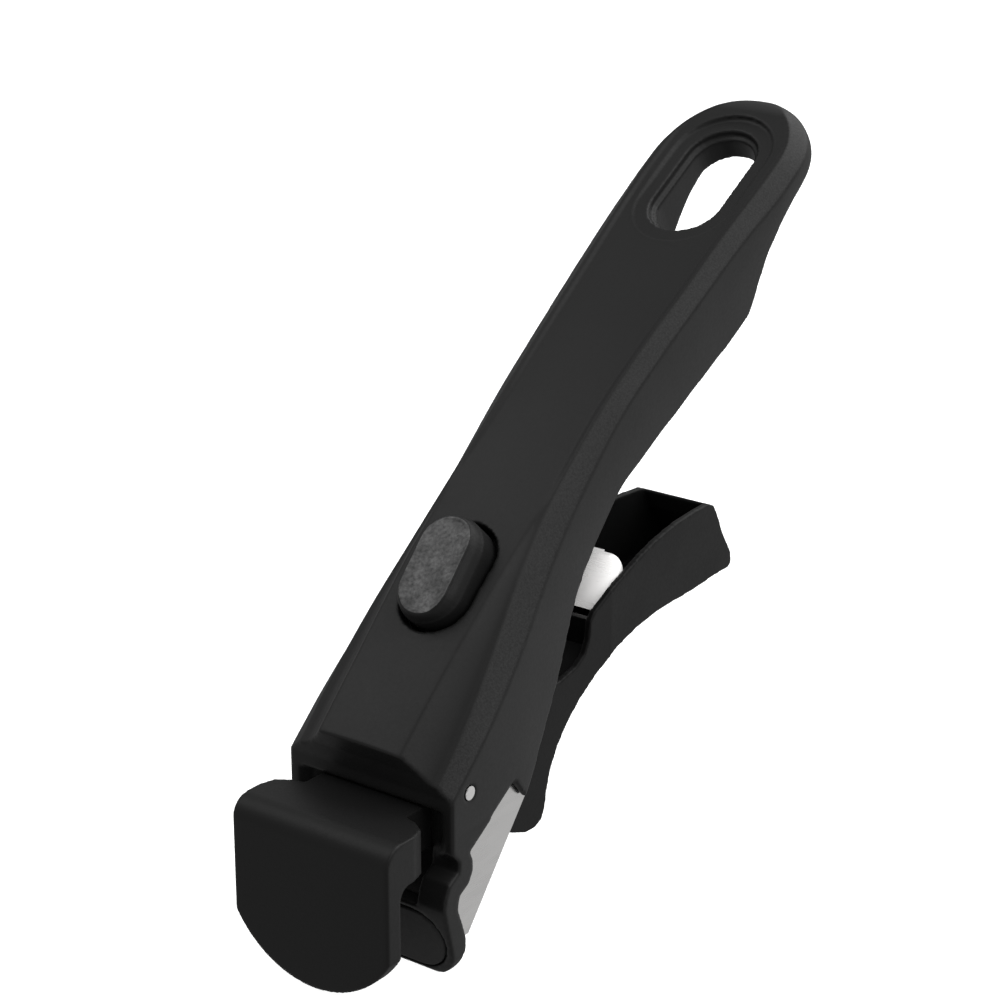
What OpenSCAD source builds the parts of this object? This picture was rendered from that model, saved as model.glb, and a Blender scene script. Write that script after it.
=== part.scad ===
// Detachable clamp-on pan handle with over-centre lever, sliding jaw and thumb release.
// Millimetres, +Z up. X runs across the handle, +Y from the clamp towards the hanging loop.
// Origin: centre of the fixed jaw pad, where the outside of the pan wall rests.
// The grip is described in its own frame, tilted up by `pitch` about the front shoulder line.

/* [Grip] */
// Rise of the grip's front part above the horizontal
pitch = 46.9; // [30:0.1:55]
// Half width at the front face
front_hw = 20; // [18:0.1:22]
// Half width at the waist
waist_hw = 15; // [14.8:0.1:17]
// Half width at the hanging loop
loop_hw = 17.8; // [16:0.1:20]
// Width of the textured edge band
band_w = 3.2; // [2:0.1:4]
// Shell wall thickness
wall = 2.0; // [1.6:0.1:2.4]
// Grip length along its own axis
grip_l = 169.5; // [168:0.5:176]

/* [Hanging slot] */
// Slot half width
slot_hw = 7.0; // [6:0.1:8]
// Slot half length between end centres
slot_hl = 7.2; // [6:0.1:8]
// Slot centre along the grip
slot_y = 144.8; // [143:0.1:147]
// Tilt of the loop relative to the front part of the grip
loop_tilt = -16; // [-18:0.5:-14]

/* [Button] */
// Button centre along the grip
btn_y = 40.6; // [39:0.1:42]
// Button half width
btn_hw = 5.6; // [5:0.1:6]
// Button half length between end centres
btn_hl = 4.8; // [4:0.1:5.5]

/* [Clamp] */
// Jaw cover half width
jaw_hw = 18.9; // [17:0.1:19.5]
// Jaw cover thickness
jaw_t = 4; // [3:0.1:5]
// Neck half width
neck_hw = 12.4; // [11:0.1:12.6]
// Jaw travel from open to closed
jaw_travel = 6.3; // [5:0.1:6.4]
// Lever swing from open to closed, degrees
lever_swing = 27; // [25:0.5:28]

/* [Pins] */
// Pivot pin radius
pivot_r = 2.0; // [1.5:0.05:2.2]
// Drive pin radius
drive_r = 1.5; // [1.2:0.05:1.8]
// Front cross pin radius
cross_r = 1.4; // [1.2:0.05:1.6]
// Latch pin radius
latch_r = 1.25; // [1:0.05:1.5]
// Running clearance on the radius
run = 0.06; // [0.03:0.01:0.1]

/* [Hidden] */
$fn = 48;
eps = 0.05;
pad_y = -0.55;
pad_z = -30.5;
pad_tilt = 13.4;
band_hw = front_hw - 0.02;
flange_in = 16.7;
flange_out = 17.7;
lever_hw = 12.4;
lever_wall = 1.5;
lever_end_hw = 8.3;
slide_hw = 9.8;
slide_z = -8.5;
pivot = [22, 6];
drive_arm = jaw_travel / (2 * sin(lever_swing / 2));
drive = [pivot[0] - drive_arm * sin(lever_swing / 2), pivot[1] - drive_arm * cos(lever_swing / 2)];
cross_h = [3.7, -4.0];
latch_h = [70.2, -5.2];
well_hw = 8.1;
well_hl = 4.3;
stem_r = 3.6;
black = [0.13, 0.13, 0.14];
steel = [0.78, 0.78, 0.8];
bright = [0.88, 0.88, 0.9];

// Stations of the grip, in its own frame: [distance along it, value]
tab_w = [[-14, 20.3], [0, 20.2], [16, 19.8], [32, 18.5], [47, 16.7], [63, 15.4], [84, waist_hw],
         [100, 15.5], [114, 16.2], [131, 17.0], [144, loop_hw], [150, loop_hw], [172, loop_hw]];
tab_s = [[-14, 1], [0, 0], [16, -1.3], [32, -2.2], [48, -2.3], [63, -2.9], [84, -4.4],
         [100, -7.5], [114, -10.7], [131, -14.9], [144, -18.9], [158, -22.6], [172, -26.2]];
tab_i = [[-14, 2.6], [0, 2.1], [16, 2.2], [32, 2.4], [48, 2.2], [63, 1.2], [84, -1.8],
         [100, -4.9], [114, -8.2], [131, -12.1], [144, -15.5], [158, -19.5], [172, -23.6]];
tab_c = [[-14, 8.4], [0, 7.6], [16, 6.8], [32, 5.6], [44, 4.4], [54, 2.8], [64, 1.1], [84, -2.2],
         [100, -5.4], [114, -8.7], [131, -12.6], [144, -15.9], [158, -19.8], [172, -23.2]];
tab_p = [[-14, 10], [0, 10], [20, 10.2], [36, 10.8], [50, 11.2], [64, 11.0], [84, 10.4], [114, 11.6],
         [144, 13], [172, 13]];
tab_b = [[-14, -26], [0, -25], [11.5, -23.2], [22, -20.9], [34, -18.8], [45, -16.5], [52, -15.4],
         [62, -15.5], [74, -16.2], [82, -18.7], [93, -22], [104, -25.2], [116, -28.6], [121.7, -29.8],
         [126, -29], [130, -27.5], [135, -26], [144, -25], [151, -25.8], [158, -27.4], [172, -30.4]];

// Smooth interpolation through a station table
function seg(t, x, i = 0) = (i >= len(t) - 2 || x < t[i + 1][0]) ? i : seg(t, x, i + 1);
function slope(t, i) = let (a = max(i - 1, 0), b = min(i + 1, len(t) - 1))
  (t[b][1] - t[a][1]) / (t[b][0] - t[a][0]);
function cub(t, x) = let (i = seg(t, x), h = t[i + 1][0] - t[i][0], u = (x - t[i][0]) / h,
  u2 = u * u, u3 = u2 * u)
  (2 * u3 - 3 * u2 + 1) * t[i][1] + (u3 - 2 * u2 + u) * h * slope(t, i)
  + (3 * u2 - 2 * u3) * t[i + 1][1] + (u3 - u2) * h * slope(t, i + 1);
function mix(a, b, u) = a + (b - a) * u;

// Plan half width, rounded off at the loop end
end_y = 150;
function plan(y) = min(front_hw, cub(tab_w, y)) * (y <= end_y ? 1
  : pow(max(0.003, 1 - pow((y - end_y) / (grip_l - end_y), 2.2)), 0.5));
function fade(y) = min(1, plan(y) / 12);

// Half section of the outer skin, top centre to bottom edge
function half_out(y) = let (w = plan(y), f = fade(y), xi = w - band_w * f,
  xp = min(cub(tab_p, y), xi - 0.8 * f), zs = cub(tab_s, y),
  zi = mix(zs, cub(tab_i, y), f), zc = mix(zs, cub(tab_c, y), f),
  zb = mix(zs - 1.5, cub(tab_b, y), f))
  [[0, zc + 0.2 * f], [xp * 0.5, zc + 0.12 * f], [xp, zc - 0.15 * f], [mix(xp, xi, 0.3), mix(zc, zi, 0.5)],
   [mix(xp, xi, 0.65), mix(zc, zi, 0.86)], [xi, zi], [w, zs], [w, mix(zs, zb, 0.5)], [w - 0.8 * f, zb]];
// Half section of the hollow, bottom edge to top centre
function skin_t(y) = y < 26 ? max(1.3, plan(y) - flange_out - 0.1) : min(wall, 1.3 + (y - 26) / 20);
function half_in(y) = let (w = plan(y) - skin_t(y), zb = cub(tab_b, y), zs = cub(tab_s, y),
  zi = cub(tab_i, y), zt = min(cub(tab_c, y) - 2.6, zi + 0.2))
  [[w, zb], [w, min(zt - 2.4, zs - 1.3)], [w - 2.6, min(zt - 0.9, zi - 1.9)],
    [w - 4.2, min(zt - 0.5, zi - 1)], [w - 7, zt], [0, zt + 0.1]];
// Chain over the top from the right bottom edge to the left bottom edge
function chain(h) = concat([for (i = [len(h) - 1 : -1 : 1]) h[i]], [h[0]],
  [for (i = [1 : len(h) - 1]) [-h[i][0], h[i][1]]]);
function rev(h) = [for (i = [len(h) - 1 : -1 : 0]) h[i]];

// One closed skin: solid before and after the hollow, a channel open below between stations ja and jb
module grip_skin() {
  ys = [-14, -3, 8, 16, 24, 33, 41, 48, 56, 65, 74, 81, 89, 97, 105, 113, 119, 122, 125, 128, 132, 138, 144,
    150, 155, 159.5, 163, 165.6, 167.5, 168.7, 169.3];
  ja = 2;
  jb = 16;
  m = len(ys);
  n = 17;
  k = 11;
  outer = [for (y = ys) for (p = chain(half_out(y))) [p[0], y, p[1]]];
  inner = [for (j = [ja : jb]) for (p = chain(rev(half_in(ys[j])))) [p[0], ys[j], p[1]]];
  q = m * n;
  function o(j, i) = j * n + i;
  function v(j, i) = q + (j - ja) * k + i;
  skin = [for (j = [0 : m - 2]) for (i = [0 : n - 2])
    each [[o(j, i), o(j, i + 1), o(j + 1, i)], [o(j + 1, i), o(j, i + 1), o(j + 1, i + 1)]]];
  under = [for (j = [0 : m - 2]) if (j < ja - 1 || j > jb)
    [o(j, 0), o(j + 1, 0), o(j + 1, n - 1), o(j, n - 1)]];
  front = [[o(ja - 1, 0), o(ja, 0), v(ja, 0)], [o(ja - 1, 0), v(ja, 0), v(ja, k - 1)],
    [o(ja - 1, 0), v(ja, k - 1), o(ja, n - 1)], [o(ja - 1, 0), o(ja, n - 1), o(ja - 1, n - 1)]];
  rear = [[o(jb + 1, 0), o(jb + 1, n - 1), o(jb, n - 1)], [o(jb + 1, 0), o(jb, n - 1), v(jb, k - 1)],
    [o(jb + 1, 0), v(jb, k - 1), v(jb, 0)], [o(jb + 1, 0), v(jb, 0), o(jb, 0)]];
  lips = [for (j = [ja : jb - 1]) each [[o(j, 0), o(j + 1, 0), v(j + 1, 0), v(j, 0)],
    [o(j, n - 1), v(j, k - 1), v(j + 1, k - 1), o(j + 1, n - 1)]]];
  inside = [for (j = [ja : jb - 1]) for (i = [0 : k - 2])
    each [[v(j, i), v(j + 1, i), v(j, i + 1)], [v(j + 1, i), v(j + 1, i + 1), v(j, i + 1)]]];
  // end faces, as strips between mirrored pairs
  function strip(f, c, back) = [for (i = [0 : (c - 1) / 2 - 1]) let (p = f + i, r = f + c - 1 - i)
    each (i == (c - 1) / 2 - 1 ? [back ? [p, p + 1, r] : [r, p + 1, p]]
      : back ? [[p, p + 1, r - 1], [p, r - 1, r]] : [[r, r - 1, p + 1], [r, p + 1, p]])];
  caps = concat(strip(0, n, false), strip((m - 1) * n, n, true), strip(q, k, true),
    strip(q + (jb - ja) * k, k, false));
  polyhedron(points = concat(outer, inner), faces = concat(skin, under, front, rear, lips, inside, caps));
}

module at_w() translate([0, -pad_y, -pad_z]) children();
module at_h() at_w() rotate([pitch, 0, 0]) children();
// Side profile [y, z] extruded across X between x0 and x1
module side(pts, x0, x1) translate([x0, 0, 0]) rotate([90, 0, 90]) linear_extrude(x1 - x0) polygon(pts);
module both() { children(); mirror([1, 0, 0]) children(); }
module x_rod(p, r, x0, x1) translate([x0, p[0], p[1]]) rotate([0, 90, 0]) cylinder(r = r, h = x1 - x0);
module stadium2(hw, hl) {
  square([2 * hw, 2 * hl], center = true);
  for (s = [-1, 1]) translate([0, s * hl]) circle(r = hw);
}
module stadium(hw, hl, h) linear_extrude(h) stadium2(hw, hl);
// Coil: mean radius, wire radius, height, turns, about Z
module coil(rm, rw, h, turns) {
  k = 7;
  n = round(turns * 18);
  pts = [for (j = [0 : n]) let (a = 360 * turns * j / n, z = h * j / n) for (i = [0 : k - 1])
    let (b = 360 * i / k, r = rm + rw * cos(b)) [r * cos(a), r * sin(a), z + rw * sin(b)]];
  side = [for (j = [0 : n - 1]) for (i = [0 : k - 1]) let (a = j * k + i, b = j * k + (i + 1) % k)
    each [[a, b + k, b], [a, a + k, b + k]]];
  ends = [[for (i = [0 : k - 1]) i], [for (i = [k - 1 : -1 : 0]) n * k + i]];
  polyhedron(points = pts, faces = concat(side, ends));
}

// Side profiles of the clamp area, in the clamp frame [y, z]
jaw_band = [[0.02, -8.5], [0.02, -11], [2.2, -13.4], [2, -15.2], [-0.9, -16.8], [-2.1, -19.2], [-2.6, -21.6],
            [-2.3, -23.2], [0.3, -34], [1, -37], [1.7, -38], [2.6, -38], [3.5, -35], [4, -33], [4.2, -31.4],
            [4.1, -29.6], [3, -26.2], [1.8, -23], [2.4, -20.4], [5.2, -18.8], [6.5, -16.5], [6.4, -14.2],
            [5.6, -12.4], [11.6, -8.5]];
flange = [[26, -8.6], [7.6, -31.2], [4.8, -31.2], [2.2, -30.2], [0.8, -26.4], [-0.2, -23], [0.4, -19.6],
  [3.2, -17.4], [4.4, -15.6], [4.2, -13], [3.6, -11.4], [3.6, 1.4], [16.5, 16.2], [24, 13.2], [27.6, 4]];

nose = [[-60, -60], [-60, 60], [-9, 20], [-3.5, 9.6], [-3.1, 7.8], [-1.1, 4], [0, 0], [0, -9], [10.86, -9],
        [20, -3.1], [23.4, -7.4], [24.4, -8.8], [60, -60]];
hollow = [[2.4, -22], [2.4, -20.4], [4.2, -18.6], [4.2, -12.9], [3.4, -12.9], [3.4, 2.4], [6.19, 5.44],
  [49, -34.5], [49, -50], [6.6, -50], [6.6, -32], [4.6, -22]];

module body_shell() color(black) difference() {
  union() {
    difference() {
      at_h() grip_skin();
      at_w() side(nose, -30, 30);
    }
    at_h() translate([0, 112.5, -24.6]) cylinder(r = 3, h = 14.4);
    at_w() intersection() {
      side(jaw_band, -front_hw, front_hw);
      translate([0, 30, 0]) rotate([90, 0, 0]) linear_extrude(60) union() {
        translate([-band_hw, -31.6]) square([2 * band_hw, 31.6]);
        translate([-band_hw + 6.5, -38.1]) square([2 * band_hw - 13, 10]);
        for (s = [-1, 1]) translate([s * (band_hw - 6.5), -31.6]) circle(r = 6.5);
      }
    }
  }
  at_w() side(hollow, -flange_out - eps, flange_out + eps);
  // opening for the neck, its flared mouth and the recess under the front wall
  at_w() translate([-neck_hw - 0.3, -8, -12.9]) cube([2 * neck_hw + 0.6, 30, 10.1]);
  at_w() translate([0, 0, -12.9]) linear_extrude(10.1) polygon([[-18.1, -1], [-18.1, -0.1], [-15.7, 1.65],
    [-12.6, 2.6], [12.6, 2.6], [15.7, 1.65], [18.1, -0.1], [18.1, -1]]);
  at_w() translate([-neck_hw - 0.8, -8, -22.4]) cube([2 * neck_hw + 1.6, 40, 11.4]);
  // pockets for the chassis flanges
  at_w() both() side(flange, flange_in - eps, flange_out + eps);
  // pad seat
  at_w() translate([0, pad_y, pad_z]) rotate([90 + pad_tilt, 0, 0]) translate([0, 0, -1.5])
    linear_extrude(5) pad_outline(0.25);
  // button well
  at_h() translate([0, btn_y, -6]) stadium(well_hw, well_hl, 24);
  // hanging slot with its stepped recess
  at_h() translate([0, slot_y, -15.9]) rotate([loop_tilt, 0, 0]) {
    translate([0, 0, -16]) stadium(slot_hw, slot_hl, 40);
    translate([0, 0, -2.4]) stadium(slot_hw + 1.1, slot_hl, 20);
    translate([0, 0, -0.9]) stadium(11.4, 7.5, 20);
  }
  // front cross pin
  at_h() x_rod(cross_h, cross_r, -30, 30);
  at_h() translate([0, 112.5, -27]) cylinder(r = 1.25, h = 12);
}
module pad_outline(g) union() {
  translate([-11.6, -6.6 - g]) square([23.2, 13.2 + 2 * g]);
  for (s = [-1, 1]) translate([s * 11.6, 0]) circle(r = 6.6 + g);
}

module jaw_pad() color(black) at_w() translate([0, pad_y, pad_z]) rotate([90 + pad_tilt, 0, 0])
  translate([0, 0, -1.5]) linear_extrude(1.5) pad_outline(0);

module chassis() color(steel) difference() {
  union() {
    at_w() both() side(flange, flange_in, flange_out);
    at_w() side([[2.74, -24.4], [3.96, -24.4], [5.8, -31.2], [4.4, -31.2]], -flange_in - eps,
      flange_in + eps);
    at_h() translate([-flange_in - eps, 13.5, -3.6]) cube([2 * flange_in + 2 * eps, 8.4, 1.2]);
  }
  at_w() x_rod(pivot, pivot_r + run, -30, 30);
  at_h() x_rod(cross_h, cross_r + run, -30, 30);
  at_h() for (x = [-9, 9]) translate([x, 17.7, -8]) cylinder(r = 1.6, h = 9);
}

// Inner wall that closes the clamp area behind the neck
module bulkhead() color(black) at_w()
  side([[8.2, -12.9], [9.8, -12.9], [9.8, -27.2], [8.2, -29]], -flange_in, flange_in);

module cross_pin() color(bright) at_h() x_rod(cross_h, cross_r, -20, 20);

module chassis_screws() color(steel) at_h() for (x = [-9, 9]) translate([x, 17.7, 0]) {
  translate([0, 0, -3.6]) cylinder(r = 1.4, h = 5.4);
  translate([0, 0, -5.2]) difference() {
    cylinder(r = 2.6, h = 1.6);
    for (a = [0, 90]) rotate([0, 0, a]) translate([-1.6, -0.3, -0.6]) cube([3.2, 0.6, 1.4]);
  }
}

// Outline of the jaw cover in the front view [x, z]
module jaw_outline() {
  translate([-jaw_hw, -26.8]) square([2 * jaw_hw, 23.5]);
  intersection() {
    translate([0, -15.5]) circle(r = 22, $fn = 96);
    translate([-jaw_hw, -38]) square([2 * jaw_hw, 12]);
  }
}
module jaw_cover() color(black) at_w() difference() {
  union() {
    translate([0, -18 + jaw_t, 0]) rotate([90, 0, 0]) linear_extrude(jaw_t) jaw_outline();
    translate([-neck_hw, -16, -12.5]) cube([2 * neck_hw, 20, 9.2]);
    // shoulders between cover and neck
    translate([0, 0, -12.5]) linear_extrude(9.2) polygon([[-jaw_hw, -15], [-jaw_hw, -9.8], [-18, -6.8],
      [-15.4, -5], [-neck_hw, -4.2], [neck_hw, -4.2], [15.4, -5], [18, -6.8], [jaw_hw, -9.8], [jaw_hw, -15]]);
    // fillet under the shoulders
    difference() {
      translate([-jaw_hw, -14.1, -15.4]) cube([2 * jaw_hw, 3, 3]);
      x_rod([-11.1, -15.4], 2.9, -30, 30);
    }
  }
  // rounded top front edge
  difference() {
    translate([-30, -19, -7.5]) cube([60, 5.2, 8]);
    translate([-31, -13.8, -7.5]) rotate([0, 90, 0]) cylinder(r = 4.2, h = 62);
  }
  // pocket for the steel plate
  translate([-slide_hw - 0.02, -16.62, -34]) cube([2 * slide_hw + 0.04, 1.64, 26.5]);
  translate([-slide_hw - 0.02, -16.62, slide_z - 1.02]) cube([2 * slide_hw + 0.04, 30, 2.04]);
}

module slide_plate() color(steel) at_w() difference() {
  union() {
    translate([-slide_hw, -16.6, -34]) cube([2 * slide_hw, 1.6, 26.5]);
    translate([-slide_hw, -15.8, slide_z - 1]) cube([2 * slide_hw, 32.2, 2]);
    for (s = [-1, 1]) translate([s * 6 - 0.9, 0, 0]) side([[12, -9.5], [12, -7.5], [16, -4.2], [22.2, -4.2],
      [22.2, -10.4], [16, -10.4]], 0, 1.8);
  }
  // slots for the drive pin
  for (z = [-6.85, -7.75]) x_rod([drive[0], z], drive_r + run, -10, 10);
  translate([-10, drive[0] - drive_r - run, -7.75]) cube([20, 2 * (drive_r + run), 0.9]);
  for (z = [-15, -22, -29]) translate([0, -10, z]) rotate([90, 0, 0]) cylinder(r = 2.2, h = 10);
}

module slide_guides() color(black) at_w() both() difference() {
  translate([8.7, 10.8, -12.6]) cube([flange_in - 8.75, 2.6, 7.4]);
  translate([0, 0, slide_z - 1.06]) cube([slide_hw + 0.06, 20, 2.12]);
}

// Side profile of the lever, open position, clamp frame [y, z]
lever_out = [[14.6, -12.2], [17, -14.4], [22, -16.8], [29, -20.2], [33, -21.7], [36, -22], [38.4, -21],
  [39.7, -18.4], [40.3, -14.9], [41.5, -11], [43.8, -6.8], [47.2, -2.8], [51.4, 0.7], [57.2, 4.3],
  [64.5, 7.4], [72.1, 8.9], [80.5, 9.6], [88.8, 9.5], [97.3, 9.3], [106, 9.5], [112, 9.3],
  [113.4, 10.5], [112.6, 13], [109.1, 18.2], [106.2, 23.5], [104.7, 25.8], [102, 26.9], [96.5, 27.1],
  [88.1, 26.8], [79.9, 25.8], [73.9, 24.5], [68, 22.8], [62.1, 21], [58.7, 19.3], [56, 18],
  [54.6, 16.3], [54.2, 12.8], [52.8, 10], [50, 8.2], [44.2, 6.9], [36, 8], [28.4, 9.6], [26, 11.2],
  [22, 12], [18.2, 11], [16, 8], [15.2, 4], [14.4, -3], [14, -9]];
lever_in = [[0, -12], [15, -12.2], [17.6, -12.4], [22.8, -14.7], [29.8, -18], [33.6, -19.5],
  [36, -19.6], [37.6, -18], [38.2, -14.4], [39.4, -10.2], [41.9, -5.7], [45.6, -1.3], [50.2, 2.5],
  [56.3, 6.2], [63.7, 9.3], [71.5, 10.9], [80.3, 11.6], [88.8, 11.5], [97.2, 11.3], [105.6, 11.4],
  [108, 12.6], [107.1, 16.2], [103.8, 22.4], [101.1, 32.1], [101.1, 60], [0, 60]];
// Plan of the lever, inset by g, tapering from the strike plate to the end
module lever_plan(g) translate([0, 0, -30]) linear_extrude(90) polygon([[g - lever_hw, -5],
  [g - lever_hw, 62], [g - lever_end_hw, 114], [lever_end_hw - g, 114], [lever_hw - g, 62],
  [lever_hw - g, -5]]);
module lever_shell() color(black) at_w() difference() {
  intersection() {
    side(lever_out, -lever_hw, lever_hw);
    lever_plan(0);
  }
  intersection() {
    side(lever_in, -lever_hw + lever_wall, lever_hw - lever_wall);
    lever_plan(lever_wall);
  }
  x_rod(pivot, pivot_r + run, -30, 30);
  x_rod(drive, drive_r, -30, 30);
  for (x = [-6, 6]) translate([x, 72.5, 0]) cylinder(r = 1.1, h = 30);
}
module lever_ribs() color(black) at_w() {
  translate([-lever_hw + lever_wall, 60.5, 7.5]) cube([2 * (lever_hw - lever_wall), 1.6, 6.2]);
  translate([-8.6, 84, 10.5]) cube([17.2, 1.6, 3]);
}

module strike_plate() color(bright) at_w() difference() {
  union() {
    translate([0, 68.9, 12.6]) rotate([90, 0, 0]) linear_extrude(1.5) union() {
      translate([-10.2, 0]) square([20.4, 9.9]);
      translate([-7.2, 0]) square([14.4, 12.9]);
      for (s = [-1, 1]) translate([s * 7.2, 9.9]) circle(r = 3);
    }
    translate([-9, 67.4, 12.6]) cube([18, 8.4, 1.3]);
    translate([-5, 68.8, 24.3]) cube([10, 1, 1.2]);
  }
  for (x = [-6, 6]) translate([x, 72.5, 0]) cylinder(r = 1.25, h = 30);
}
module strike_screws() color(steel) at_w() for (x = [-6, 6]) translate([x, 72.5, 0]) {
  translate([0, 0, 10.4]) cylinder(r = 1.1, h = 4);
  translate([0, 0, 13.9]) difference() {
    cylinder(r = 2, h = 1.3);
    for (a = [0, 90]) rotate([0, 0, a]) translate([-1.3, -0.25, 0.6]) cube([2.6, 0.5, 1]);
  }
}

module pivot_pin() color(steel) at_w() x_rod(pivot, pivot_r, -flange_out, flange_out);
module pivot_bushes() color([0.85, 0.85, 0.82]) at_w() both() difference() {
  x_rod(pivot, 3.6, lever_hw + 0.1, flange_in - 0.1);
  x_rod(pivot, pivot_r + run, 0, 30);
}
module drive_pin() color(steel) at_w() x_rod(drive, drive_r, -lever_hw - 1.4, lever_hw + 1.4);
module drive_clips() color(steel) at_w() both() difference() {
  x_rod(drive, 2.7, lever_hw + 0.15, lever_hw + 0.85);
  x_rod(drive, drive_r - 0.02, 0, 30);
  translate([0, drive[0] - 5, drive[1] - 0.9]) cube([20, 5, 1.8]);
}
module lever_spring() color(steel) at_w() translate([-4.4, pivot[0], pivot[1]]) rotate([0, 90, 0])
  coil(3.0, 0.5, 8.8, 6);

module button() color(black) at_h() translate([0, btn_y, 0]) difference() {
  union() {
    translate([0, 0, 1.4]) stadium(btn_hw + 1.6, btn_hl - 0.6, 6.2);
    translate([0, 0, 1.4]) stadium(btn_hw, btn_hl, 9.6);
    translate([0, 0, -5.8]) cylinder(r = stem_r, h = 7.3);
  }
  translate([0, 30, 29.7]) rotate([90, 0, 0]) cylinder(r = 20, h = 60, $fn = 120);
}
// Sleeve under the shell that guides the button
module button_well() color(black) at_h() translate([0, btn_y, 0]) difference() {
  translate([0, 0, -4.8]) stadium(well_hw + 1.1, well_hl, 6.2);
  translate([0, 0, -3.6]) stadium(well_hw, well_hl, 8);
  translate([0, 0, -6]) cylinder(r = stem_r + 0.3, h = 8);
}
module button_spring() color(steel) at_h() translate([0, btn_y, -3.15]) coil(7.35, 0.4, 4.1, 2.5);

// Rocking latch: front arm under the button, claw behind the strike plate
module latch() color(steel) at_h() difference() {
  side([[37, -6.3], [58, -6.3], [64, -4.6], [68.5, -3.2], [70.2, -2.8], [72.4, -3.6], [73.2, -5.2],
    [73.1, -8.4], [71.5, -8.4], [69.4, -7.8], [37, -7.8]], -4, 4);
  x_rod(latch_h, latch_r + run, -10, 10);
}
module latch_claw() color(bright) at_h() side([[71.5, -8.4], [73.1, -8.4], [73, -11.6], [72.2, -12.6],
  [71.4, -12.6], [70.14, -11.6], [70.14, -11], [71.35, -11.35]], -4, 4);
module latch_pin() color(steel) at_h() x_rod(latch_h, latch_r, -8.6, 8.6);
module latch_bracket() color(black) at_h() both() difference() {
  side([[66.8, -1.8], [73.6, -2.9], [73, -6.8], [70.2, -8], [67.2, -6.8]], 6.4, 8.6);
  x_rod(latch_h, latch_r, 0, 30);
}
module latch_spring() color(steel) at_h() translate([4.4, latch_h[0], latch_h[1]]) rotate([0, 90, 0])
  coil(1.9, 0.3, 1.5, 2);
module rear_cover() color(black) at_h() difference() {
  side([[106.6, -26], [116, -28.6], [118.6, -29.2], [118.6, -27.2], [116, -26.6], [108.4, -24.4],
    [108.4, -14], [106.6, -14]], -13.2, 13.2);
  translate([0, 112.5, -40]) cylinder(r = 1.3, h = 30);
  translate([0, 112.5, -30]) cylinder(r = 2.6, h = 3.4);
}
module cover_screw() color(steel) at_h() translate([0, 112.5, 0]) difference() {
  union() {
    translate([0, 0, -26.6]) cylinder(r = 1.25, h = 11);
    translate([0, 0, -27.8]) cylinder(r = 2.4, h = 1.2);
  }
  for (a = [0, 90]) rotate([0, 0, a]) translate([-1.5, -0.3, -28]) cube([3, 0.6, 0.8]);
}

body_shell();
jaw_pad();
chassis();
bulkhead();
cross_pin();
chassis_screws();
jaw_cover();
slide_plate();
slide_guides();
lever_shell();
lever_ribs();
strike_plate();
strike_screws();
pivot_pin();
pivot_bushes();
drive_pin();
drive_clips();
lever_spring();
button();
button_well();
button_spring();
latch();
latch_claw();
latch_pin();
latch_bracket();
latch_spring();
rear_cover();
cover_screw();
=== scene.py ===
"""Visual model of the clamp-on pan handle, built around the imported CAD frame.

Outlines and sizes are in millimetres, in one of two frames. Both start at the middle of the front shoulder
line: the clamp's frame is parallel to the CAD frame, and the grip's is pitched up along the handle.
"""
import math

import bmesh
import bpy
from mathutils import Matrix, Vector

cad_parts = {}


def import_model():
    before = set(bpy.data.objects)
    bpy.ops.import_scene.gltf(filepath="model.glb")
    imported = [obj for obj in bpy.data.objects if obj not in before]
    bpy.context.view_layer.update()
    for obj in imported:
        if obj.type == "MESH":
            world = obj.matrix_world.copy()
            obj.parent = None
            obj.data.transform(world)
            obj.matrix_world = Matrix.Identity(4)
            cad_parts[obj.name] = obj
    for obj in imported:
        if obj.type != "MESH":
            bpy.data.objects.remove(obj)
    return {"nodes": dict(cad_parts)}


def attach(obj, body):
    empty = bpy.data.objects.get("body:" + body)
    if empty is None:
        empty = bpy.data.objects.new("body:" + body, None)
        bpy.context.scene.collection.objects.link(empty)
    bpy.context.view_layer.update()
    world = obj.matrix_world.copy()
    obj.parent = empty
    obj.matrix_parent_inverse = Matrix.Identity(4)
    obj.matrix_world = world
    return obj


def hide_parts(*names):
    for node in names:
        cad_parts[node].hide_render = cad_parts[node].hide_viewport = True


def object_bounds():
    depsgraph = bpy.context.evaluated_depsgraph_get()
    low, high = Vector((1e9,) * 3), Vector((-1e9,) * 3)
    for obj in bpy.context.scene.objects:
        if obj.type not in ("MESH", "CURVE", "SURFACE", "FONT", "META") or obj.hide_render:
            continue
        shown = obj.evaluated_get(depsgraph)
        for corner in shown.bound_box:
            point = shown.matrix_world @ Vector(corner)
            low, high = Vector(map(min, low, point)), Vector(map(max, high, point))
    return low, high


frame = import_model()
CAD_LOW, CAD_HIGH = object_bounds()

MM = 0.001
PITCH = math.radians(46.9)          # the grip's rise above the horizontal
SHOULDER = Vector((0, 0.55, 30.5))  # middle of the front shoulder line in the CAD frame, mm
CLAMP = Matrix.Translation(SHOULDER * MM) @ Matrix.Scale(MM, 4)
GRIP = Matrix.Translation(SHOULDER * MM) @ Matrix.Rotation(PITCH, 4, "X") @ Matrix.Scale(MM, 4)

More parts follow.
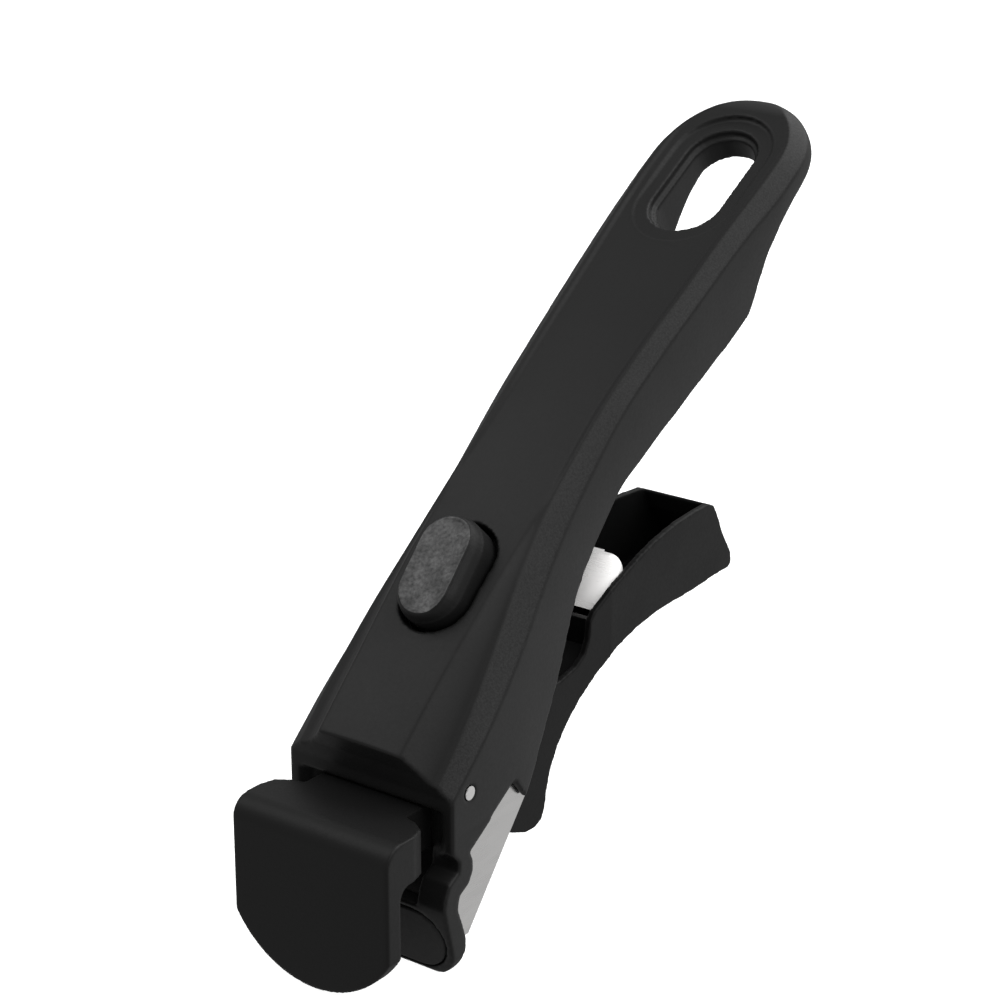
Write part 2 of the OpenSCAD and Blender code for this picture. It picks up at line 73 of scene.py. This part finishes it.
# Driving sizes, mm. HW is a half width, Y is measured along the grip.
FRONT_HW = 20.0             # the clamp end
HOLLOW_HW = 17.75           # the hollow inside the clamp end
STEEL_HW = 16.65            # inner face of the steel side plates
BAND_W = 3.2                # the textured band along each top edge
GRIP_L = 169.5
END_Y = 150.0               # where the loop's end starts to round off
FADE_HW = 12.0              # below this half width the section's steps fade out towards the loop's tip
BTN_Y = 40.6                # middle of the button
SLOT_Y, SLOT_Z = 144.8, -15.9   # middle of the hanging slot, on the loop's top
LOOP_TILT = math.radians(-16)   # fall of the loop's top against the grip
PAD_LEAN = math.radians(13.4)   # lean of the fixed jaw's face
NECK_Z = (-12.9, -2.8)      # clamp frame: the way in for the sliding jaw's neck
COVER_Z = (-22.4, -11)      # clamp frame: the way in for the sliding jaw's plate
CORNER_R, CORNER_Z = 6.5, -31.6     # clamp frame: the jaw's lower corners
PIN_Y, PIN_Z, PIN_R = 3.7, -4.0, 1.5    # grip frame: hole for the cross pin
PAST = 30                   # tools reach this far, past everything they cut
AMBIENT = 0.3               # strength of the studio's even light

# Stations of the grip in its own frame, mm: (distance along it, value)
WIDTH = ((-14, 20.3), (0, 20.2), (16, 19.8), (32, 18.5), (47, 16.7), (63, 15.4), (84, 15.0),
         (100, 15.5), (114, 16.2), (131, 17.0), (144, 17.8), (150, 17.8), (172, 17.8))
SHOULDER_Z = ((-14, 1), (0, 0), (16, -1.3), (32, -2.2), (48, -2.3), (63, -2.9), (84, -4.4),
              (100, -7.5), (114, -10.7), (131, -14.9), (144, -18.9), (158, -22.6), (172, -26.2))
BAND_Z = ((-14, 2.6), (0, 2.1), (16, 2.2), (32, 2.4), (48, 2.2), (63, 1.2), (84, -1.8),
          (100, -4.9), (114, -8.2), (131, -12.1), (144, -15.5), (158, -19.5), (172, -23.6))
CROWN_Z = ((-14, 8.4), (0, 7.6), (16, 6.8), (32, 5.6), (44, 4.4), (54, 2.8), (64, 1.1), (84, -2.2),
           (100, -5.4), (114, -8.7), (131, -12.6), (144, -15.9), (158, -19.8), (172, -23.2))
PANEL = ((-14, 10), (0, 10), (20, 10.2), (36, 10.8), (50, 11.2), (64, 11.0), (84, 10.4), (114, 11.6),
         (144, 13), (172, 13))
BELLY_Z = ((-14, -26), (0, -25), (11.5, -23.2), (22, -20.9), (34, -18.8), (45, -16.5), (52, -15.4),
           (62, -15.5), (74, -16.2), (82, -18.7), (93, -22), (104, -25.2), (116, -28.6), (121.7, -29.8),
           (126, -29), (130, -27.5), (135, -26), (144, -25), (151, -25.8), (158, -27.4), (172, -30.4))

# Side outlines of the clamp area in the clamp frame, mm: (y, z). MOUTH is a plan outline: (x, y)
NOSE = ((-60, -60), (-60, 60), (-9, 20), (-3.5, 9.6), (-3.1, 7.8), (-1.1, 4), (0, 0), (0, -9),
        (10.86, -9), (20, -3.1), (23.4, -7.4), (24.4, -8.8), (60, -60))
JAW_BAND = ((0.02, -8), (0.02, -11), (2.2, -13.4), (2, -15.2), (-0.9, -16.8), (-2.1, -19.2),
            (-2.6, -21.6), (-2.3, -23.2), (0.3, -34), (1, -37), (1.7, -38), (2.6, -38), (3.5, -35), (4, -33),
            (4.2, -31.4), (4.1, -29.6), (3, -26.2), (1.8, -23), (2.4, -20.4), (5.2, -18.8), (6.5, -16.5),
            (6.4, -14.2), (5.6, -12.4), (12.4, -8))
FLANGE = ((26, -8.6), (7.6, -31.2), (4.8, -31.2), (2.2, -30.2), (0.8, -26.4), (-0.2, -23), (0.4, -19.6),
          (3.2, -17.4), (4.4, -15.6), (4.2, -13), (3.6, -11.4), (3.6, 1.4), (16.5, 16.2), (24, 13.2),
          (27.6, 4))
HOLLOW = ((2.4, -22), (2.4, -20.4), (4.2, -18.6), (4.2, -12.9), (4.6, -12.9), (4.6, 3.7), (6.19, 5.44),
          (49, -34.5), (49, -50), (6.6, -50), (6.6, -32), (4.6, -22))
MOUTH = ((-18.1, -1), (-18.1, -0.1), (-15.7, 1.65), (-12.6, 2.6), (12.6, 2.6), (15.7, 1.65), (18.1, -0.1),
         (18.1, -1))


# ---------------------------------------------------------------- shapes
def smooth(table, x):
    """Smooth interpolation through a station table."""
    i = 0
    while i < len(table) - 2 and x >= table[i + 1][0]:
        i += 1

    def slope(k):
        a, b = max(k - 1, 0), min(k + 1, len(table) - 1)
        return (table[b][1] - table[a][1]) / (table[b][0] - table[a][0])

    (x0, v0), (x1, v1) = table[i], table[i + 1]
    h = x1 - x0
    u = (x - x0) / h
    return ((2 * u**3 - 3 * u**2 + 1) * v0 + (u**3 - 2 * u**2 + u) * h * slope(i)
            + (3 * u**2 - 2 * u**3) * v1 + (u**3 - u**2) * h * slope(i + 1))


def mix(a, b, u):
    return a + (b - a) * u


def plan(y):
    """Half width of the grip, seen from above."""
    w = min(FRONT_HW, smooth(WIDTH, y))
    if y <= END_Y:
        return w
    return w * max(0.003, 1 - ((y - END_Y) / (GRIP_L - END_Y)) ** 2.2) ** 0.5


def top_edge(y):
    """Half width, fade, and the heights of the shoulder and of the band's inner edge."""
    w = plan(y)
    f = min(1.0, w / FADE_HW)
    zs = smooth(SHOULDER_Z, y)
    return w, f, zs, mix(zs, smooth(BAND_Z, y), f)


def section(y):
    """Right half of the grip's outer section, from the top centre to the bottom edge."""
    w, f, zs, zi = top_edge(y)
    xi = w - BAND_W * f
    xp = min(smooth(PANEL, y), xi - 0.8 * f)
    zc = mix(zs, smooth(CROWN_Z, y), f)
    zb = mix(zs - 1.5, smooth(BELLY_Z, y), f)
    points = [(xp * u / 6, zc + (0.2 - 0.35 * (u / 6) ** 2) * f) for u in range(7)]
    for u in (k / 8 for k in range(1, 9)):
        points.append((mix(xp, xi, u), mix(zc - 0.15 * f * (1 - u), zi, 1 - (1 - u) ** 1.9)))
    points += [(mix(xi, w, u), mix(zi, zs, u)) for u in (0.33, 0.67, 1)]
    points += [(w - 0.8 * f * u**2.5, mix(zs, zb, u)) for u in (k / 8 for k in range(1, 9))]
    return points


def inner_section(y):
    """Right half of the hollow's section, open through the belly. The side wall is 1.3 to 2 mm thick, and
    thicker at the clamp end, where the steel side plates keep their own width."""
    wall = max(1.3, plan(y) - 17.8) if y < 26 else min(2.0, 1.3 + (y - 26) / 20)
    w = plan(y) - wall
    zs, zi, zb = smooth(SHOULDER_Z, y), smooth(BAND_Z, y), smooth(BELLY_Z, y)
    zt = min(smooth(CROWN_Z, y) - 2.6, zi + 0.2)
    return [(0, zt + 0.1), (w - 7, zt), (w - 4.2, min(zt - 0.5, zi - 1)),
            (w - 2.6, min(zt - 0.9, zi - 1.9)), (w, min(zt - 2.4, zs - 1.3)), (w - 0.05, zb - 12)]


def tube(rings):
    """Closed skin through equal rings of points, with a flat face at each end."""
    n, last = len(rings[0]), (len(rings) - 1) * len(rings[0])
    verts = [point for ring in rings for point in ring]
    faces = []
    for start in range(0, last, n):
        for i in range(n):
            k = (i + 1) % n
            faces.append((start + i, start + k, start + n + k, start + n + i))
    faces += [tuple(reversed(range(n))), tuple(last + i for i in range(n))]
    return verts, faces


def loft(stations, half):
    """Closed skin through mirrored half sections; each section closes along its bottom."""
    rings = []
    for y in stations:
        right = half(y)
        rings.append([(x, y, z) for x, z in reversed(right)] + [(-x, y, z) for x, z in right[1:]])
    return tube(rings)


def prism(outline, low, high, axis):
    """Closed prism over a flat outline, from low to high along axis. The outline's points are (y, z) for 'x',
    (x, z) for 'y' and (x, y) for 'z'."""
    place = {"x": lambda a, b, h: (h, a, b),
             "y": lambda a, b, h: (a, h, b),
             "z": lambda a, b, h: (a, b, h)}[axis]
    n = len(outline)
    verts = [place(a, b, h) for h in (low, high) for a, b in outline]
    faces = [tuple(range(n)), tuple(reversed(range(n, 2 * n)))]
    faces += [(i, n + i, n + (i + 1) % n, (i + 1) % n) for i in range(n)]
    return verts, faces


def arc(cx, cy, r, start, end, steps=12):
    """Points on an arc in degrees, end included."""
    return [(cx + r * math.cos(math.radians(mix(start, end, k / steps))),
             cy + r * math.sin(math.radians(mix(start, end, k / steps)))) for k in range(steps + 1)]


def rectangle(hw, low, high):
    return [(-hw, low), (hw, low), (hw, high), (-hw, high)]


def stadium(hw, hl):
    """Outline with two straight sides and round ends; 'hl' is half the length of the straight part."""
    return arc(0, hl, hw, 0, 180, 16) + arc(0, -hl, hw, 180, 360, 16)


def stack(layers):
    """Closed stadium-shaped solid through (half width, half straight length, z) layers, lowest first."""
    return tube([[(x, y, z) for x, y in stadium(hw, hl)] for hw, hl, z in layers])


def solid(name, shape, matrix):
    """Object from (verts, faces) in mm, placed by matrix, with outward normals."""
    verts, faces = shape
    mesh = bpy.data.meshes.new(name)
    mesh.from_pydata(verts, [], faces)
    mesh.transform(matrix)
    bm = bmesh.new()
    bm.from_mesh(mesh)
    bmesh.ops.recalc_face_normals(bm, faces=bm.faces)
    if bm.calc_volume(signed=True) < 0:
        bmesh.ops.reverse_faces(bm, faces=bm.faces)
    bm.to_mesh(mesh)
    bm.free()
    obj = bpy.data.objects.new(name, mesh)
    bpy.context.scene.collection.objects.link(obj)
    return obj


def settle(obj):
    """Applies every modifier of obj."""
    bpy.context.view_layer.update()
    made = bpy.data.meshes.new_from_object(obj.evaluated_get(bpy.context.evaluated_depsgraph_get()))
    obj.modifiers.clear()
    old, obj.data = obj.data, made
    made.name = obj.name
    bpy.data.meshes.remove(old)
    return obj


def carve(obj, shape, matrix, operation="DIFFERENCE"):
    """Boolean of obj with a tool made from (verts, faces) and placed by matrix."""
    return combine(obj, solid("tool", shape, matrix), operation)


def combine(obj, tool, operation):
    """Boolean of obj with tool; the tool is used up."""
    modifier = obj.modifiers.new("combine", "BOOLEAN")
    modifier.operation, modifier.solver, modifier.object = operation, "MANIFOLD", tool
    settle(obj)
    bpy.data.objects.remove(tool)
    return obj


def soften(obj, voxel=0.45, passes=4):
    """Rounds every edge as a mould does: fine remesh, pulled back onto the true surface, then relaxed."""
    true = bpy.data.objects.new("true_surface", obj.data.copy())
    bpy.context.scene.collection.objects.link(true)
    remesh = obj.modifiers.new("remesh", "REMESH")
    remesh.mode, remesh.voxel_size, remesh.adaptivity = "VOXEL", voxel * MM, 0.0
    for step in range(2):
        relax = obj.modifiers.new("relax", "SMOOTH")
        relax.factor, relax.iterations = 0.5, 3 if step == 0 else passes
        if step == 0:
            wrap = obj.modifiers.new("wrap", "SHRINKWRAP")
            wrap.target, wrap.wrap_method = true, "NEAREST_SURFACEPOINT"
    settle(obj)
    bpy.data.objects.remove(true)
    for face in obj.data.polygons:
        face.use_smooth = True
    return obj


def copy_of(node):
    """A new object with the CAD node's mesh, welded, to be refined."""
    obj = bpy.data.objects.new(node + "_skin", frame["nodes"][node].data.copy())
    bpy.context.scene.collection.objects.link(obj)
    obj.data.materials.clear()
    bm = bmesh.new()
    bm.from_mesh(obj.data)
    bmesh.ops.remove_doubles(bm, verts=bm.verts, dist=1e-6)
    bm.to_mesh(obj.data)
    bm.free()
    return obj


# ---------------------------------------------------------------- materials
class Nodes:
    """A short way to write a material's node tree."""

    def __init__(self, name):
        self.material = bpy.data.materials.new(name)
        self.material.use_nodes = True
        self.tree = self.material.node_tree
        self.shader = self.tree.nodes["Principled BSDF"]
        self.coords = self.tree.nodes.new("ShaderNodeTexCoord")
        self.place = self.coords.outputs["Object"]

    def add(self, kind, inputs=None, **settings):
        node = self.tree.nodes.new("ShaderNode" + kind)
        for key, value in settings.items():
            setattr(node, key, value)
        for key, value in (inputs or {}).items():
            if isinstance(value, bpy.types.NodeSocket):
                self.tree.links.new(value, node.inputs[key])
            else:
                node.inputs[key].default_value = value
        return node

    def noise(self, scale, detail, stretch=(1, 1, 1)):
        spot = self.add("Mapping", {"Vector": self.place, "Scale": stretch})
        return self.add("TexNoise", {"Vector": spot.outputs[0], "Scale": scale, "Detail": detail}).outputs[0]

    def span(self, value, low, high, out_low, out_high):
        """Maps low..high to out_low..out_high."""
        node = self.add("MapRange", {"Value": value, "From Min": low, "From Max": high,
                                     "To Min": out_low, "To Max": out_high})
        return node.outputs[0]

    def math(self, operation, a, b):
        return self.add("Math", {0: a, 1: b}, operation=operation).outputs[0]

    def blend(self, factor, a, b):
        """Mix of two colours; 6, 7 and output 2 are the colour sockets of the Mix node."""
        return self.add("Mix", {0: factor, 6: a, 7: b}, data_type="RGBA").outputs[2]

    def bump(self, height, strength, distance, normal=None):
        inputs = {"Height": height, "Strength": strength, "Distance": distance}
        if normal is not None:
            inputs["Normal"] = normal
        return self.add("Bump", inputs).outputs[0]

    def link(self, value, socket):
        self.tree.links.new(value, self.shader.inputs[socket])


def grey(v, warm=0.0):
    """Neutral colour, or a slightly warm one."""
    return (v * (1 + warm), v, v * (1 - warm), 1)


def plastic(name, tone=0.013, rough=0.42, grain=1440, depth=0.35, band=False, scuff_and_sheen=0.0, shine=0.3):
    """Moulded black plastic: fine grain and slight patches in gloss. 'band' adds the coarser, paler band on
    the top edges. The last argument is a grey that paints the faces pointing along the grip's own vertical
    paler: scuffs from handling, plus a painted highlight where the light falls on these upward faces."""
    m = Nodes(name)
    patches = m.noise(60, 2.0)
    fine = m.noise(grain, 2.0)
    colour = m.blend(patches, grey(tone * 0.9), grey(tone * 1.1))
    roughness = m.math("ADD", m.span(patches, 0.3, 0.7, rough - 0.03, rough + 0.03),
                       m.span(fine, 0.3, 0.7, -0.03, 0.03))
    normal = m.bump(fine, depth, 0.04 * MM)
    if band:
        edge = m.add("Attribute", attribute_name="band").outputs["Fac"]
        coarse = m.noise(2600, 2.0)
        pale = m.blend(m.span(coarse, 0.35, 0.65, 0, 1), grey(tone * 1.2), grey(tone * 2.2))
        colour = m.blend(edge, colour, pale)
        roughness = m.math("ADD", roughness, m.math("MULTIPLY", edge, 0.1))
        normal = m.bump(m.math("MULTIPLY", coarse, edge), 0.6, 0.06 * MM, normal)
    # Painted highlight mixed with scuff spots: faces that point along the grip's vertical are made paler.
    if scuff_and_sheen:
        up = (0, -math.sin(PITCH), math.cos(PITCH))
        dot = m.add("VectorMath", {0: m.coords.outputs["Normal"], 1: up}, operation="DOT_PRODUCT")
        scuff_and_sheen_spots = m.math("MULTIPLY", m.noise(260, 4.0), m.noise(1500, 3.0))
        sheen_and_scuff_mask = m.math("MULTIPLY", m.span(dot.outputs["Value"], 0.9, 0.98, 0, 1),
                        m.span(scuff_and_sheen_spots, 0.12, 0.4, 0.25, 1))
        colour = m.blend(sheen_and_scuff_mask, colour, grey(scuff_and_sheen))
    m.link(colour, "Base Color")
    m.link(roughness, "Roughness")
    m.link(normal, "Normal")
    m.shader.inputs["Specular IOR Level"].default_value = shine
    return m.material


def metal(name, tone=0.66, rough=0.28, brushed=(1, 1, 1), scale=700, depth=0.15, mirror=1.0):
    """Stainless steel with fine marks, drawn out along the axis with the smallest number in 'brushed'."""
    m = Nodes(name)
    marks = m.noise(scale, 4.0, brushed)
    clouds = m.noise(90, 2.0)
    m.link(m.blend(clouds, grey(tone * 0.94, 0.01), grey(tone * 1.04, 0.01)), "Base Color")
    m.link(m.math("ADD", m.span(marks, 0.3, 0.7, rough - 0.06, rough + 0.06),
                  m.span(clouds, 0.3, 0.7, -0.03, 0.03)), "Roughness")
    m.link(m.bump(marks, depth, 0.03 * MM), "Normal")
    m.shader.inputs["Metallic"].default_value = mirror
    return m.material


def nylon(name):
    """Natural nylon, slightly cloudy."""
    m = Nodes(name)
    cloud = m.noise(300, 3.0)
    m.link(m.blend(cloud, (0.62, 0.61, 0.55, 1), (0.72, 0.71, 0.66, 1)), "Base Color")
    m.link(m.span(cloud, 0.3, 0.7, 0.38, 0.5), "Roughness")
    m.link(m.bump(cloud, 0.2, 0.05 * MM), "Normal")
    return m.material


SKIN = plastic("grip_plastic", band=True)
COVER = plastic("cover_plastic", tone=0.012, rough=0.46, shine=0.25)
LEVER = plastic("lever_plastic", tone=0.008, rough=0.46, shine=0.16)
# The button's top face is painted paler: scuffs, plus a painted highlight.
BUTTON = plastic("button_plastic", tone=0.012, rough=0.5, grain=960, depth=0.7, scuff_and_sheen=0.18)
INNER = plastic("inner_plastic", tone=0.009, rough=0.55)
PAD = plastic("pad_rubber", tone=0.032, rough=0.6, grain=800, depth=0.5)
SHEET = metal("sheet_steel", brushed=(1, 0.15, 1))
PLATE = metal("plate_steel", tone=0.85, rough=0.3, brushed=(0.1, 1, 1), depth=0.08, mirror=0.35)
PIN = metal("pin_steel", tone=0.8, rough=0.16, brushed=(1, 4, 4))
WIRE = metal("spring_wire", tone=0.6, rough=0.25, scale=1500)
NYLON = nylon("natural_nylon")


# ---------------------------------------------------------------- grip shell
def grip_shell():
    """Grip, loop and fixed jaw in one moulding."""
    stations = [-14 + k for k in range(164)]
    stations += [END_Y + (GRIP_L - 0.05 - END_Y) * math.sin(math.pi / 2 * k / 24) for k in range(1, 25)]
    shell = solid("grip", loft(stations, section), GRIP)
    carve(shell, loft([8 + k * 2 for k in range(56)], inner_section), GRIP)
    carve(shell, prism(NOSE, -PAST, PAST, "x"), CLAMP)
    combine(shell, jaw_band(), "UNION")
    carve(shell, prism(HOLLOW, -HOLLOW_HW, HOLLOW_HW, "x"), CLAMP)
    carve(shell, prism(rectangle(12.7, -8, 22), *NECK_Z, "z"), CLAMP)
    carve(shell, prism(MOUTH, *NECK_Z, "z"), CLAMP)
    carve(shell, prism(rectangle(13.2, -8, 32), *COVER_Z, "z"), CLAMP)
    carve(shell, prism(FLANGE, -HOLLOW_HW, -STEEL_HW, "x"), CLAMP)
    carve(shell, prism(FLANGE, STEEL_HW, HOLLOW_HW, "x"), CLAMP)
    seat = Matrix.Translation(-SHOULDER) @ Matrix.Rotation(math.pi / 2 + PAD_LEAN, 4, "X")
    carve(shell, prism([(b, a) for a, b in stadium(6.9, 11.6)], -1.5, 4, "z"), CLAMP @ seat)
    well = Matrix.Translation((0, BTN_Y, 0))
    carve(shell, stack([(8.1, 4.3, -6), (8.1, 4.3, 20)]), GRIP @ well)
    slot = Matrix.Translation((0, SLOT_Y, SLOT_Z)) @ Matrix.Rotation(LOOP_TILT, 4, "X")
    carve(shell, stack([(7.0, 7.2, -20), (7.0, 7.2, -2.4), (8.1, 7.2, -2.4), (8.1, 7.2, -0.9),
                        (11.4, 7.5, -0.9), (11.4, 7.5, 20)]), GRIP @ slot)
    carve(shell, prism(arc(PIN_Y, PIN_Z, PIN_R, 0, 345, 23), -PAST, PAST, "x"), GRIP)
    soften(shell)
    mark_band(shell)
    return shell


def jaw_band():
    """The fixed jaw's curled front, with its lower corners rounded."""
    reach = FRONT_HW - 0.02
    band = solid("jaw_band", prism(JAW_BAND, -reach, reach, "x"), CLAMP)
    side = FRONT_HW - CORNER_R
    outline = ([(FRONT_HW, 0), (-FRONT_HW, 0)] + arc(-side, CORNER_Z, CORNER_R, 180, 270)
               + arc(side, CORNER_Z, CORNER_R, 270, 360))
    return carve(band, prism(outline, -PAST, PAST, "y"), CLAMP, "INTERSECT")


def thumb_button():
    """The CAD button with the moulded slope between its collar and its dished top."""
    slope = stack([(7.15, 4.2, 6.5), (7.0, 4.25, 7.9), (6.6, 4.4, 8.9), (6.1, 4.6, 9.6), (5.5, 4.8, 10.0),
                   (4, 4, 9.2)])
    skin = carve(copy_of("button"), slope, GRIP @ Matrix.Translation((0, BTN_Y, 0)), "UNION")
    return soften(skin, 0.25, 5)


def mark_band(shell):
    """Writes the 'band' attribute: 1 on the textured edge band, 0 elsewhere, with a soft step between."""
    back = GRIP.inverted()
    reach, overlap, step = 0.9, 0.02, 0.1   # mm off the band's slope; then shares of the band's width
    values = []
    for vertex in shell.data.vertices:
        x, y, z = back @ vertex.co
        if not -2 < y < GRIP_L:
            values.append(0.0)
            continue
        w, f, zs, zi = top_edge(y)
        u = (w - abs(x)) / (BAND_W * f)
        on_slope = abs(z - mix(zs, zi, min(1, max(0, u)))) < reach
        inside = min(max((u + overlap) / step, 0), max((1 + overlap - u) / step, 0), 1)
        values.append(inside if on_slope else 0.0)
    attribute = shell.data.attributes.new("band", "FLOAT", "POINT")
    attribute.data.foreach_set("value", values)


def dress(obj, material, body, slot_name, *nodes):
    """Gives a made piece its material and its body, and hides the CAD nodes it stands for; slot_name is not
    used.
    """
    obj.data.materials.clear()
    obj.data.materials.append(material)
    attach(obj, body)
    if nodes:
        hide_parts(*nodes)
    return obj


def paint(node, material, bevel=0.0):
    """Gives a kept CAD node its material, and a small bevel along its sharp edges."""
    obj = frame["nodes"][node]
    obj.data.materials.clear()
    obj.data.materials.append(material)
    if bevel:
        weld = obj.modifiers.new("weld", "WELD")
        weld.merge_threshold = 1e-6
        edge = obj.modifiers.new("bevel", "BEVEL")
        edge.width, edge.segments, edge.limit_method = bevel * MM, 2, "ANGLE"
        edge.angle_limit, edge.harden_normals = math.radians(35), False
    for face in obj.data.polygons:
        face.use_smooth = True
    obj.modifiers.new("weighted", "WEIGHTED_NORMAL").keep_sharp = True


dress(grip_shell(), SKIN, "body", "black_plastic", "body_shell")
dress(soften(copy_of("jaw_cover"), 0.4, 5), COVER, "jaw", "black_plastic", "jaw_cover")
dress(soften(copy_of("lever_shell"), 0.4, 3), LEVER, "lever", "black_plastic", "lever_shell")
dress(thumb_button(), BUTTON, "button", "black_plastic", "button")
dress(soften(copy_of("jaw_pad"), 0.35, 4), PAD, "body", "pad_rubber", "jaw_pad")

for name, material, bevel in (
        ("chassis", SHEET, 0.12), ("slide_plate", SHEET, 0.15), ("strike_plate", PLATE, 0.2),
        ("latch", SHEET, 0.15), ("latch_claw", PLATE, 0.1), ("bulkhead", INNER, 0.1),
        ("cross_pin", PIN, 0.15), ("pivot_pin", PIN, 0.2), ("drive_pin", PIN, 0.15), ("latch_pin", PIN, 0.1),
        ("chassis_screws", SHEET, 0.1), ("strike_screws", SHEET, 0.1), ("cover_screw", SHEET, 0.1),
        ("drive_clips", SHEET, 0.05), ("lever_spring", WIRE, 0), ("button_spring", WIRE, 0),
        ("latch_spring", WIRE, 0), ("slide_guides", INNER, 0.2), ("lever_ribs", LEVER, 0.2),
        ("button_well", INNER, 0.2), ("latch_bracket", INNER, 0.2), ("rear_cover", INNER, 0.2),
        ("pivot_bushes", NYLON, 0.15)):
    paint(name, material, bevel)


# ---------------------------------------------------------------- studio
def floor():
    """Pale paper just under the handle, seen by the camera only."""
    m = Nodes("paper_floor")
    cloud = m.noise(3, 2.0)
    m.link(m.blend(cloud, grey(0.88), grey(0.9)), "Base Color")
    m.shader.inputs["Roughness"].default_value = 0.9
    reach, gap = 9, 0.0002
    verts = [(-reach, -reach, 0), (reach, -reach, 0), (reach, reach, 0), (-reach, reach, 0)]
    sheet = solid("floor", (verts, [(0, 1, 2, 3)]), Matrix.Translation((0, 0, CAD_LOW.z - gap)))
    sheet.data.materials.append(m.material)
    sheet.visible_glossy = sheet.visible_diffuse = sheet.visible_shadow = False
    return sheet


def sun(name, direction, strength, spread, only=(), shadow=True):
    """Even light from one direction, softened over 'spread' degrees."""
    data = bpy.data.lights.new(name, "SUN")
    data.energy, data.angle, data.use_shadow = strength, math.radians(spread), shadow
    hang(data, direction, only)


def lamp(name, direction, size, power, only=()):
    """Soft square light one metre from the object's middle."""
    data = bpy.data.lights.new(name, "AREA")
    data.shape, data.size, data.energy = "SQUARE", size, power
    hang(data, direction, only)


def hang(data, direction, only):
    """Places a light so that it shines from 'direction', on every piece or on some objects only."""
    obj = bpy.data.objects.new(data.name, data)
    bpy.context.scene.collection.objects.link(obj)
    back = Vector(direction).normalized()
    obj.location = (CAD_LOW + CAD_HIGH) / 2 + back
    obj.rotation_mode = "QUATERNION"
    obj.rotation_quaternion = back.to_track_quat("Z", "Y")
    if only:
        group = bpy.data.collections.new(data.name + "_lit")
        for lit in only:
            group.objects.link(lit)
        obj.light_linking.receiver_collection = group


def camera():
    """Long lens above and beside the clamp end, aimed near the middle of the grip."""
    azimuth, elevation, distance = math.radians(37.1), math.radians(20.0), 0.545
    aim = Vector((-0.0026, 0.0452, 0.0723))
    back = Vector((math.sin(azimuth) * math.cos(elevation), -math.cos(azimuth) * math.cos(elevation),
                   math.sin(elevation)))
    data = bpy.data.cameras.new("camera")
    data.lens, data.sensor_width = 99.6, 36
    obj = bpy.data.objects.new("camera", data)
    bpy.context.scene.collection.objects.link(obj)
    obj.location = aim + back * distance
    obj.rotation_mode = "QUATERNION"
    obj.rotation_quaternion = (-back).to_track_quat("-Z", "Y")
    bpy.context.scene.camera = obj


def world():
    """White behind the handle, and a weaker even light on it."""
    data = bpy.data.worlds.new("studio")
    data.use_nodes = True
    tree = data.node_tree
    seen = tree.nodes.new("ShaderNodeLightPath").outputs["Is Camera Ray"]
    level = tree.nodes.new("ShaderNodeMapRange")
    level.inputs["To Min"].default_value, level.inputs["To Max"].default_value = AMBIENT, 1.0
    tree.links.new(seen, level.inputs["Value"])
    tree.nodes["Background"].inputs["Color"].default_value = (1, 1, 1, 1)
    tree.links.new(level.outputs[0], tree.nodes["Background"].inputs["Strength"])
    bpy.context.scene.world = data
    bpy.context.scene.view_settings.view_transform = "Standard"


# Directions point from the handle to the light. Suns take strength and degrees, lamps metres and watts.
world()
sun("paper", (0, 0, 1), 3.3, 10, (floor(),), shadow=False)
sun("key", (0.2, 0.75, 0.65), 1.1, 60)
sun("crown", (0.45, 0.1, 0.9), 1.0, 70)
lamp("top", (-0.57, -0.36, 0.74), 0.7, 1.5)
lamp("side", (0.57, 0.75, -0.34), 0.8, 0.65)
lamp("edge", (0.89, -0.08, 0.44), 0.4, 0.7)
lamp("plate", (0.5, -0.8, 0.35), 0.4, 24,
     [frame["nodes"][node] for node in ("strike_plate", "strike_screws")])
camera()
